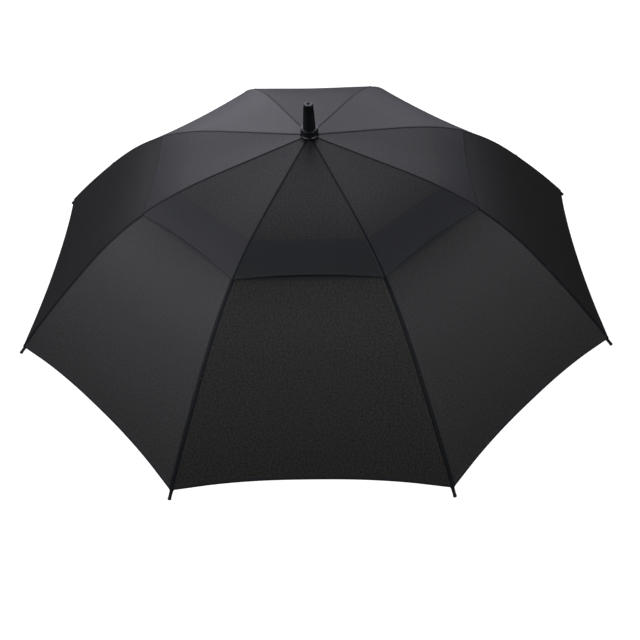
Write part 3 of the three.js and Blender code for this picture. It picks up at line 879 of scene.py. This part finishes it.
@dataclass
class Cover:
    """The cover's two layers of cloth, with their seams and hems."""

    line: RibLine = LINE
    neck: float = 0.0085
    vent_inner: float = 0.2542
    vent_outer: float = 0.3317
    flex: float = 0.344
    corner: float = 0.6858
    scallop: float = 0.0155  # how far the hem is cut back at the middle of a gore
    scallop_from: float = 0.55 * 0.6858
    bow_power: float = 2.6  # the shape of the scallop, and of the vent's lift, across a gore
    draw_in: float = 0.005  # how far the middle of a gore sinks
    thickness: float = 0.00035
    seam_rise: float = 0.00045
    crease: float = 0.00025
    pucker: float = 0.00022
    pucker_pitch: float = 0.0145
    pucker_reach: float = 0.009
    fold_rise: float = 0.00012
    lip: float = 0.00015
    hem: float = 0.0075
    no_hem: float = 0.2  # what the "edges" map says where no hem is near
    keep: float = 0.055  # what is left of a half gore's spread when the umbrella is closed

    def parts(self) -> list[ClothPart]:
        """The cover's parts, from the crown to the hem."""
        upper = ClothPart(
            "upper_cloth", "rib", self.neck, self.vent_outer, rows=56, columns=26, finish=Finish.UPPER_CLOTH,
            seam_half=0.0019, height=0.0013, lift=0.0035, cut_back=0.0075, cut_from=0.26, cut_ease=False,
            hemmed=True,
        )
        vent = ClothPart(
            "vent_cloth", "rib", self.vent_inner, self.flex, rows=18, columns=26, finish=Finish.LOWER_CLOTH,
            seam_half=0.0034,
        )
        skirt = ClothPart(
            "skirt_cloth", "rib_end", self.flex, self.corner, rows=60, columns=30, finish=Finish.LOWER_CLOTH,
            seam_half=0.0034, cut_back=self.scallop, cut_from=self.scallop_from, cut_power=self.bow_power,
            hemmed=True,
        )
        return [upper, vent, skirt]

    def stations(self, part: ClothPart) -> np.ndarray:
        """The distances of a part's rows, closer at a hem."""
        if not part.hemmed:
            return np.linspace(part.start, part.end, part.rows + 1)
        inner = self.hem + np.array([0.0014, 0.0005, -0.0005])
        fold = part.end - np.concatenate([inner, [0.0026, 0.0009, 0.0003, 0.0]])
        body = np.linspace(part.start, fold[0], part.rows + 2 - len(fold))
        return np.concatenate([body[:-1], fold])

    def aside(self, part: ClothPart, half: np.ndarray) -> np.ndarray:
        """The distances of a part's columns from the rib's line.

        Args:
            part: the part.
            half: half a gore's width at each row.

        Returns:
            A row of distances for each of them, closer at the seam.
        """
        edge = part.seam_half
        near = np.array([0.0, 0.35 * edge, 0.8 * edge, edge, edge + 0.0004, edge + 0.0012, edge + 0.0032])
        share = np.arange(part.columns + 1) / part.columns
        even = half[:, None] * share[None, :]
        limit = np.full(part.columns + 1, np.inf)
        limit[: len(near)] = near
        return np.minimum(limit[None, :], even)

    def outline(self, part: ClothPart, s: np.ndarray, away: np.ndarray, left: int) -> tuple[np.ndarray, ...]:
        """Lays a part on the ribs.

        Args:
            part: the part.
            s: the distance of each row down the rib, before the hem's curve is cut.
            away: the distance of each vertex from the rib's line, rows by columns.
            left: 1 or -1, the side of the rib that the cloth is on.

        Returns:
            x, y and z of each vertex in the rib's own plane, and the distance of each down the cloth.
        """
        line_x, _ = self.line.point(s, np.zeros_like(s))
        half = line_x * math.sin(RIB_STEP / 2)
        across = np.clip(1 - away / np.maximum(half[:, None], 1e-6), 0, 1)
        if part.cut_ease:
            back = part.cut_back * ease(s, part.cut_from, part.end)
        else:
            back = part.cut_back * np.clip((s - part.cut_from) / (part.end - part.cut_from), 0, 1) ** 2
        down = s[:, None] - back[:, None] * (1 - across**part.cut_power)
        rise = part.lift * ease(s, part.lift_from, part.end)
        sag = self.draw_in * ease(s, 0.0, self.vent_outer)
        height = part.height + rise[:, None] * (1 - across**self.bow_power) - sag[:, None] * (1 - across**2)
        height += self.sewing(part, s[:, None], away)
        x, z = self.line.point(down, height)
        angle = left * (RIB_STEP / 2) * (1 - across)
        radius = x * math.cos(RIB_STEP / 2) / np.cos(RIB_STEP / 2 * across)
        return radius * np.cos(angle), radius * np.sin(angle), z, down

    def sewing(self, part: ClothPart, s: np.ndarray, away: np.ndarray) -> np.ndarray:
        """The relief of the felled seam, its puckers and the folded hem.

        Args:
            part: the part.
            s: distances down the rib.
            away: distances from the rib's line.

        Returns:
            Heights over the plain cloth.
        """
        seam = np.clip((part.seam_half + 0.0004 - away) / 0.0006, 0, 1) * self.seam_rise
        crease = self.crease * np.exp(-((away / 0.0004) ** 2))
        wave = np.sin(s * 2 * math.pi / self.pucker_pitch + 1.3 * np.sin(s * 31))
        pucker = self.pucker * wave * np.exp(-away / self.pucker_reach) * np.clip(away / 0.003, 0, 1)
        rise = seam - crease + pucker
        if part.hemmed:
            from_hem = part.end - s
            fold = np.clip((self.hem + 0.0004 - from_hem) / 0.0008, 0, 1) * self.fold_rise
            lip = self.lip * np.clip(1 - from_hem / 0.0009, 0, 1) ** 2
            rise = rise + (fold - lip) * np.clip(away / 0.002, 0, 1)
        return rise

    def half_gore(self, part: ClothPart, rib: int, left: int) -> bpy.types.Object:
        """Makes the cloth from a rib's line to the middle of the gore beside it.

        Args:
            part: the part of the cover.
            rib: the rib's place, from 0.
            left: 1 or -1, the side of the rib.

        Returns:
            The piece, dressed and riding on its rib.
        """
        s = self.stations(part)
        rows, columns = len(s), part.columns + 1
        piece, flat = Bench.grid(rows, columns)
        row = np.rint((flat[:, 0] + 0.5) * (rows - 1)).astype(int)
        column = np.rint((flat[:, 1] + 0.5) * (columns - 1)).astype(int)
        line_x, _ = self.line.point(s, np.zeros_like(s))
        half = line_x * math.sin(RIB_STEP / 2)
        away = self.aside(part, half)
        x, y, z, down = self.outline(part, s, away, left)
        turn = FIRST_RIB + rib * RIB_STEP
        cos, sin = math.cos(turn), math.sin(turn)
        placed = np.stack([x * cos - y * sin, x * sin + y * cos, z], axis=-1)
        piece.data.vertices.foreach_set("co", placed[row, column].ravel())
        from_hem = (part.end - s) if part.hemmed else np.full(rows, self.no_hem)
        weave = np.stack([down, half[:, None] - away], axis=-1)
        edges = np.stack([away, np.repeat(from_hem[:, None], columns, 1)], axis=-1)
        Bench.chart(piece.data, {"weave": weave[row, column], "edges": edges[row, column]})
        area = Bench.face_up(piece.data)
        side = "left" if left > 0 else "right"
        Bench.settle(piece, f"{part.name}_{rib + 1}_{side}")
        Bench.thicken(piece, self.thickness)
        Bench.dress(piece, part.finish, "cloth")
        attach(piece, f"{part.body}_{rib + 1}")
        self.gather(piece, rib, left, part.start, part.end)
        return piece

    def mid_gore(self, s: np.ndarray, height: np.ndarray) -> tuple[np.ndarray, np.ndarray]:
        """Points beside the lower cover's line down the middle of a gore.

        Args:
            s: distances down the cloth.
            height: heights off its face.

        Returns:
            Their distances from the shaft and their heights.
        """
        down = s - self.scallop * ease(s, self.scallop_from, self.corner)
        x, z = self.line.point(down, height - self.draw_in)
        return x * math.cos(RIB_STEP / 2), z

    def gather(self, piece: bpy.types.Object, rib: int, left: int, start: float, end: float) -> None:
        """Works out how far a piece that lies on the cover spreads from a rib, and gives the piece its own
        mesh.

        Args:
            piece: the piece.
            rib: the rib's place, from 0.
            left: 1 or -1, the side of the rib that the piece is on.
            start: the upper end of the part of the cover that it lies on.
            end: that part's lower end.
        """
        turn = FIRST_RIB + rib * RIB_STEP
        middle = turn + left * RIB_STEP / 2
        x, z = self.line.point(np.array([start, end, (start + end) / 2]), np.zeros(3))
        on_rib = [Vector((r * math.cos(turn), r * math.sin(turn), h)) for r, h in zip(x, z)]
        reach = x[2] * math.cos(RIB_STEP / 2)
        spread = Vector((reach * math.cos(middle), reach * math.sin(middle), z[2])) - on_rib[2]
        chord = (on_rib[1] - on_rib[0]).normalized()
        spread -= spread.dot(chord) * chord
        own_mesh(piece)

    def build(self) -> list[bpy.types.Object]:
        """Makes every half gore of both layers.

        Returns:
            The pieces.
        """
        made = []
        for part in self.parts():
            for rib in range(RIBS):
                for left in (1, -1):
                    made.append(self.half_gore(part, rib, left))
            LOG.info("%s: %d half gores", part.name, 2 * RIBS)
        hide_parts("cover_upper")
        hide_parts("cover_lower")
        return made


# ------------------------------ hard pieces


@dataclass
class Ferrule:
    """The moulded ferrule over the shaft's end: a flanged collar and a tapered spike."""

    hub: float = LINE.hub
    top: float = 0.96
    bore: float = 0.0075
    gap: float = 0.0006  # between the cloth and the collar
    sides: int = 80
    rounding: float = 0.00035

    def build(self) -> list[bpy.types.Object]:
        """Makes the collar and the spike."""
        z, bore, top = self.hub + self.gap, self.bore, self.top
        collar = [
            (bore, z + 0.001), (0.0168, z), (0.0174, z + 0.0006), (0.0174, z + 0.0022), (0.0165, z + 0.0034),
            (0.0159, z + 0.0042), (0.0158, z + 0.0128), (0.015, z + 0.0146), (0.0122, z + 0.0153),
            (bore, z + 0.0153), (bore, z + 0.001),
        ]
        foot = z + 0.0154
        spike = [
            (bore, foot), (0.0117, foot), (0.0118, foot + 0.0024), (0.0113, foot + 0.0036),
            (0.0108, foot + 0.014), (0.0098, foot + 0.03), (0.0085, top - 0.0019), (0.008, top - 0.0006),
            (0.0072, top), (0.0036, top), (0.003, top - 0.0004), (0.0026, top - 0.0024), (0.0, top - 0.0026),
        ]
        made = []
        for name, profile, node in (
            ("ferrule_collar_moulding", collar, "ferrule_collar"),
            ("ferrule_spike_moulding", spike, "ferrule_spike"),
        ):
            piece = Bench.soften(Bench.turned(name, profile, self.sides), self.rounding)
            Bench.dress(piece, Finish.FERRULE, "gloss_black")
            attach(piece, "stick")
            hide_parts(node)
            made.append(piece)
        return made


@dataclass
class Corners:
    """What is at each rib's end: the moulded tip, its thread whipping, and the tack halfway down the rib."""

    line: RibLine = LINE
    rod_depth: float = 0.0044
    overlap: float = 0.008
    binding_back: float = 0.0012  # the thread's middle, short of the corner
    tack_at: float = 0.498
    tack_rise: float = 0.0004
    tack_length: float = 0.0062
    strand_step: float = 0.0009

    def build(self) -> list[bpy.types.Object]:
        """Makes each pattern once and copies it to the eight ribs."""
        tip = self.tip()
        whipping = self.whipping()
        tack = self.tack()
        start = self.line.length - self.overlap
        made = []
        for rib in range(RIBS):
            on_rod = self.line.stand(rib, start, -self.rod_depth)
            cap = Bench.copy_placed(tip, f"tip_moulding_{rib + 1}", on_rod)
            Bench.dress(cap, Finish.TIP, "black_plastic")
            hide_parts(f"rib_tip_{rib + 1}")
            at_corner = self.line.stand(rib, self.line.length - self.binding_back, -self.rod_depth)
            binding = Bench.copy_placed(whipping, f"corner_thread_{rib + 1}", at_corner)
            across = self.line.stand(rib, self.tack_at, self.tack_rise, across=True)
            stitch = Bench.copy_placed(tack, f"rib_tack_{rib + 1}", across)
            for thread in (binding, stitch):
                Bench.dress(thread, Finish.THREAD, "cloth")
            for piece in (cap, binding, stitch):
                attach(piece, f"rib_end_{rib + 1}")
                made.append(piece)
        for pattern in (tip, whipping, tack):
            Bench.drop(pattern)
        return made

    def tip(self) -> bpy.types.Object:
        """The pattern of the tip, standing on its open end."""
        profile = [
            (0.0021, 0.0), (0.0029, 0.0002), (0.0032, 0.0012), (0.0033, 0.0078), (0.003, 0.0105),
            (0.0028, 0.0195), (0.0031, 0.0212), (0.0032, 0.0228), (0.0027, 0.0241), (0.0014, 0.0248),
            (0.0, 0.0249),
        ]
        return Bench.soften(Bench.turned("tip_pattern", profile, 32), 0.0002)

    def whipping(self) -> bpy.types.Object:
        """The pattern of the thread wound round the tip and the cloth's corner."""
        turns, thread, radius = 5, 0.0006, 0.0034
        profile = [(radius - thread, -turns * thread / 2)]
        for turn in range(turns):
            low = (turn - turns / 2) * thread
            profile += [(radius - 0.0001, low + 0.1 * thread), (radius + 0.0002, low + 0.5 * thread),
                        (radius - 0.0001, low + 0.9 * thread)]
        profile += [(radius - thread, turns * thread / 2), profile[0]]
        return Bench.soften(Bench.turned("whipping_pattern", profile, 28), 0.00005, 1, 60.0)

    def tack(self) -> bpy.types.Object:
        """The pattern of the stitches that hold the cloth to the rib: three strands side by side."""
        strands = []
        half = self.tack_length / 2
        for row in (-1, 0, 1):
            profile = [(0.0, -half), (0.0004, -half + 0.0003), (0.0005, -half * 0.4), (0.00052, 0.0),
                       (0.0005, half * 0.4), (0.0004, half - 0.0003), (0.0, half)]
            strand = Bench.turned(f"strand_{row}", profile, 12)
            Bench.take(strand)
            bpy.ops.transform.translate(value=(row * self.strand_step, 0, 0))
            strands.append(strand)
        return Bench.soften(Bench.merge(strands, "tack_pattern"), 0.00005, 1, 60.0)


@dataclass
class Handle:
    """The straight grip of ringed foam, and the cap under it."""

    foot: float = 0.0094
    head: float = 0.1416
    radius: float = 0.017
    waist: float = 0.0013
    bore: float = 0.0104
    rings: int = 11
    groove: float = 0.0007
    groove_half: float = 0.0013  # half its width at the surface
    groove_floor: float = 0.0004
    plain_foot: float = 0.018  # how much of the grip's foot, and of its head, has no rings
    plain_head: float = 0.03

    def build(self) -> list[bpy.types.Object]:
        """Makes the grip and the cap."""
        grip = Bench.soften(Bench.turned("foam_grip", self.grip_profile(), 72), 0.0003)
        Bench.dress(grip, Finish.FOAM, "foam")
        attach(grip, "stick")
        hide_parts("handle_grip")
        cap_profile = [
            (0.0, 0.0), (0.0135, 0.0), (0.0155, 0.0004), (0.0165, 0.0018), (0.0167, 0.0045), (0.0166, 0.0084),
            (0.016, 0.009), (0.0106, 0.009), (0.0106, 0.0074), (0.0, 0.0074),
        ]
        cap = Bench.soften(Bench.turned("butt_cap", cap_profile, 72), 0.0003)
        Bench.dress(cap, Finish.SATIN, "black_plastic")
        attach(cap, "stick")
        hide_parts("handle_cap")
        return [grip, cap]

    def grip_profile(self) -> list[tuple[float, float]]:
        """The grip's outline: waisted, with shallow rings, and its bore."""
        foot, head, radius = self.foot, self.head, self.radius
        outline = [(self.bore, foot), (radius - 0.0016, foot), (radius - 0.0003, foot + 0.0009)]
        outline.append((radius, foot + 0.003))
        low, high = foot + self.plain_foot, head - self.plain_head
        for ring in range(self.rings + 1):
            z = low + ring * (high - low) / self.rings
            body = self.surface(z)
            shelf, floor = self.groove_half, self.groove_floor
            outline += [(body, z - shelf), (body - self.groove, z - floor), (body - self.groove, z + floor)]
            outline.append((body, z + shelf))
        outline += [(radius, head - 0.005), (radius - 0.0003, head - 0.0012), (radius - 0.0014, head)]
        outline += [(self.bore, head), (self.bore, foot)]
        return outline

    def surface(self, z: float) -> float:
        """The grip's radius at a height."""
        return self.radius - self.waist * math.sin(math.pi * (z - self.foot) / (self.head - self.foot)) ** 2


@dataclass(frozen=True)
class Coil:
    """A coil spring, drawn at its length at rest."""

    name: str
    node: str
    joint: str
    wire: float
    radius: float
    length: float
    turns: int
    place: Matrix
    axis: Triple
    keep: float  # what is left of its length when the joint is at its limit
    wire_sides: int = 8
    steps: int = 18  # for each turn

    def build(self) -> bpy.types.Object:
        """Makes the spring, standing up from its foot."""
        Bench.clear()
        upright = (math.pi / 2, 0, 0)
        bpy.ops.mesh.primitive_circle_add(vertices=self.wire_sides, radius=self.wire, rotation=upright)
        piece = bpy.context.object
        piece.location.x = self.radius
        Bench.settle(piece, self.name)
        screw = piece.modifiers.new("winding", "SCREW")
        screw.axis = "Z"
        screw.screw_offset = self.length / self.turns
        screw.iterations = self.turns
        screw.steps = screw.render_steps = self.steps
        screw.use_merge_vertices = False
        bpy.ops.object.modifier_apply(modifier=screw.name)
        bpy.ops.object.mode_set(mode="EDIT")
        Bench.seal(open_ends=True)
        bpy.ops.object.shade_smooth_by_angle(angle=SMOOTH_SHEET)
        piece.matrix_world = self.place
        Bench.settle(piece, self.name)
        Bench.dress(piece, Finish.PLATED, "bright_steel")
        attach(piece, "stick")
        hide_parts(self.node)
        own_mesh(piece)
        return piece


@dataclass
class Springs:
    """The long spring in the shaft, which opens the umbrella, and the button's return spring."""

    travel: float = 0.4461  # of the runner, which shortens the long spring
    seat: float = 0.0006  # the gap at each of its ends
    button_height: float = 0.161
    button_depth: float = -0.0108

    def coils(self) -> list[Coil]:
        """Both springs as drawn."""
        low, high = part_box("opening_spring")
        length = high.z - low.z - 2 * self.seat
        upright = Matrix.Translation((0, 0, low.z + self.seat))
        inwards = Matrix.Translation((0, self.button_depth, self.button_height))
        inwards = inwards @ Matrix.Rotation(math.pi / 2, 4, "X")
        long = Coil(
            "opening_coil", "opening_spring", "runner_slide", wire=0.0006, radius=0.00515, length=length,
            turns=46, place=upright, axis=(0, 0, 1), keep=(length - self.travel) / length,
        )
        short = Coil(
            "button_coil", "button_spring", "button_push", wire=0.00035, radius=0.0029, length=0.0038,
            turns=4, place=inwards, axis=(0, 1, 0), keep=0.5,
        )
        return [long, short]

    def build(self) -> list[bpy.types.Object]:
        """Makes both springs."""
        return [coil.build() for coil in self.coils()]


@dataclass
class Solids:
    """The pieces that keep the shape they were drawn with, and their finishes."""

    single: tuple[tuple[str, Finish], ...] = (
        ("shaft_tube", Finish.ENAMEL), ("spring_plunger", Finish.SATIN), ("spring_seat", Finish.SATIN),
        ("button_latch", Finish.PLATED), ("crown", Finish.SATIN), ("crown_wire", Finish.PLATED),
        ("runner", Finish.SATIN), ("runner_wire", Finish.PLATED), ("handle_core", Finish.SATIN),
        ("handle_collar", Finish.SATIN), ("release_button", Finish.BUTTON),
    )
    repeated: tuple[tuple[str, Finish], ...] = (
        ("rib_inner", Finish.ROD), ("rib_outer", Finish.ROD), ("rib_joint", Finish.SATIN),
        ("stretcher", Finish.ENAMEL),
    )

    def build(self) -> None:
        """Gives every piece its finish."""
        each = [(f"{name}_{rib + 1}", finish) for name, finish in self.repeated for rib in range(RIBS)]
        for name, finish in (*self.single, *each):
            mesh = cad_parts[name].data
            mesh.materials.clear()
            mesh.materials.append(finish.material())


@dataclass
class Strap:
    """The tie strap, which hangs inside the cover behind, with its stitched border and rounded end."""

    cover: "Cover"
    start: float = 0.52
    end: float = 0.662
    width: float = 0.022
    thickness: float = 0.0009
    rib: int = 3
    rows: int = 61
    columns: int = 15
    depth: float = 0.0022  # below the cloth
    curl: float = 0.0025  # how much further its free end hangs
    curl_from: float = 0.6
    border: float = 0.0002

    def build(self) -> bpy.types.Object:
        """Makes the strap, dressed and riding on the rib beside it."""
        piece, flat = Bench.grid(self.rows, self.columns)
        s = self.start + (flat[:, 0] + 0.5) * (self.end - self.start)
        end_round = np.clip((s - (self.end - self.width / 2)) / (self.width / 2), 0, 1)
        off = flat[:, 1] * self.width * np.sqrt(np.maximum(0.06, 1 - end_round**2))
        border = self.border * np.clip((np.abs(flat[:, 1]) * 2 - 0.78) / 0.08, 0, 1)
        curl = self.curl * np.clip((s - self.curl_from) / 0.06, 0, 1) ** 2
        x, z = self.cover.mid_gore(s, -self.depth - curl - border - 0.0002 * np.sin(s * 260))
        piece.data.vertices.foreach_set("co", np.stack([-off, x, z], axis=-1).ravel())
        weave = np.stack([s, off], axis=-1)
        edges = np.stack([self.width / 2 - np.abs(off), self.end - s], axis=-1)
        Bench.chart(piece.data, {"weave": weave, "edges": edges})
        area = Bench.face_up(piece.data)
        Bench.settle(piece, "tie_strap_cloth")
        Bench.thicken(piece, self.thickness)
        Bench.dress(piece, Finish.STRAP, "cloth")
        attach(piece, f"rib_end_{self.rib + 1}")
        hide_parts("tie_strap")
        self.cover.gather(piece, self.rib, 1, self.start, self.end)
        return piece


# ------------------------------ studio


@dataclass
class Studio:
    """The floor, the soft lights and the camera."""

    radius: float = 0.5924  # of the cover's corners, which the camera's place is measured in
    rim: float = 0.593  # height of the cover's corners
    camera_place: Triple = (0.0814, -2.1715, 1.9254)  # from the rim's centre, in radii
    camera_aim: Triple = (0.0103, 0.0005, -0.2909)
    floor_size: float = 14.0
    floor_drop: float = 0.0005
    lens: float = 46.91
    roll: float = math.radians(-2.181)
    light_distance: float = 4.0
    light_aim: float = 0.75
    bounce_size: float = 1.2  # the light that the floor throws back up under the cover
    bounce_power: float = 7.0
    bounce_height: float = 0.003
    cool: Colour = (0.945, 0.93, 1.06)
    neutral: Colour = (0.985, 0.99, 0.985)
    softboxes: tuple[tuple[str, float, float, float, float], ...] = (  # azimuth, height, size, power
        ("back_box", 90, 38, 2.6, 34), ("back_left_box", 135, 34, 2.4, 14),
        ("low_left_box", 108, 12, 1.8, 22), ("low_right_box", 70, 12, 1.8, 14),
        ("left_box", 180, 34, 2.4, 39), ("right_box", 0, 34, 2.4, 21),
        ("front_left_box", -140, 40, 2.2, 37), ("front_right_box", -40, 40, 2.2, 35),
    )

    def build(self) -> None:
        """Makes the studio round the umbrella."""
        self.floor()
        self.lights()
        self.camera()

    def floor(self) -> None:
        """A wide level floor under the handle."""
        Bench.clear()
        place = (0, 0, -self.floor_drop)
        bpy.ops.mesh.primitive_circle_add(vertices=96, radius=self.floor_size, location=place)
        floor = bpy.context.object
        bpy.ops.object.mode_set(mode="EDIT")
        bpy.ops.mesh.select_all(action="SELECT")
        bpy.ops.mesh.edge_face_add()
        bpy.ops.mesh.inset(thickness=self.floor_size * 0.2)
        bpy.ops.object.mode_set(mode="OBJECT")
        Bench.settle(floor, "studio_floor")
        floor.data.materials.append(Finish.FLOOR.material())
        floor.visible_diffuse = False
        floor.visible_glossy = False

    def lights(self) -> None:
        """Soft boxes in a ring, the light off the floor, and a white surround that lights nothing."""
        for name, azimuth, height, size, power in self.softboxes:
            self.softbox(name, math.radians(azimuth), math.radians(height), size, power)
        bounce = self.softbox("floor_bounce", 0.0, -math.pi / 2, self.bounce_size, self.bounce_power)
        bounce.location.z = self.bounce_height
        world = bpy.data.worlds.new("pale_surround")
        bpy.context.scene.world = world  # before its visibility, whose setter looks for the scene's world
        world.use_nodes = True
        background = world.node_tree.nodes["Background"]
        background.inputs["Color"].default_value = (1.0, 1.0, 1.0, 1.0)
        background.inputs["Strength"].default_value = 1.0
        world.cycles_visibility.diffuse = False
        world.cycles_visibility.glossy = False

    def softbox(
        self, name: str, azimuth: float, height: float, size: float, power: float
    ) -> bpy.types.Object:
        """Adds a square soft light that faces the umbrella.

        Args:
            name: the light's name.
            azimuth: where it stands round the shaft, from +X, in radians.
            height: how high it stands over the horizon, in radians.
            size: its side, in metres.
            power: its power, in watts.

        Returns:
            The light.
        """
        level = math.cos(height)
        away = Vector((level * math.cos(azimuth), level * math.sin(azimuth), math.sin(height)))
        place = away * self.light_distance + Vector((0, 0, self.light_aim))
        Bench.clear()
        bpy.ops.object.light_add(type="AREA", location=place)
        light = bpy.context.object
        light.name = name
        light.data.size = size
        light.data.energy = power
        light.data.color = self.neutral if name.startswith("front") else self.cool
        light.rotation_euler = away.to_track_quat("Z", "Y").to_euler()
        light.visible_camera = False
        return light

    def camera(self) -> None:
        """Puts the camera in front, looking down on the cover."""
        rim = Vector((0, 0, self.rim))
        place = Vector(self.camera_place) * self.radius + rim
        aim = Vector(self.camera_aim) * self.radius + rim
        data = bpy.data.cameras.new("camera")
        data.lens = self.lens
        data.sensor_width = 36.0
        data.clip_start = 0.05
        data.clip_end = 60.0
        camera = bpy.data.objects.new("camera", data)
        bpy.context.scene.collection.objects.link(camera)
        facing = (place - aim).to_track_quat("Z", "Y").to_matrix().to_4x4()
        roll = Matrix.Rotation(self.roll, 4, "Z")
        camera.matrix_world = Matrix.Translation(place) @ facing @ roll
        bpy.context.scene.camera = camera
        bpy.context.scene.view_settings.view_transform = "Standard"


def main() -> None:
    """Builds the umbrella's looks in order."""
    logging.basicConfig(level=logging.INFO, format="%(name)s: %(message)s")
    Studio().build()
    Solids().build()
    cover = Cover()
    cover.build()
    Strap(cover).build()
    Ferrule().build()
    Corners().build()
    Handle().build()
    Springs().build()


if __name__ == "__main__":
    main()
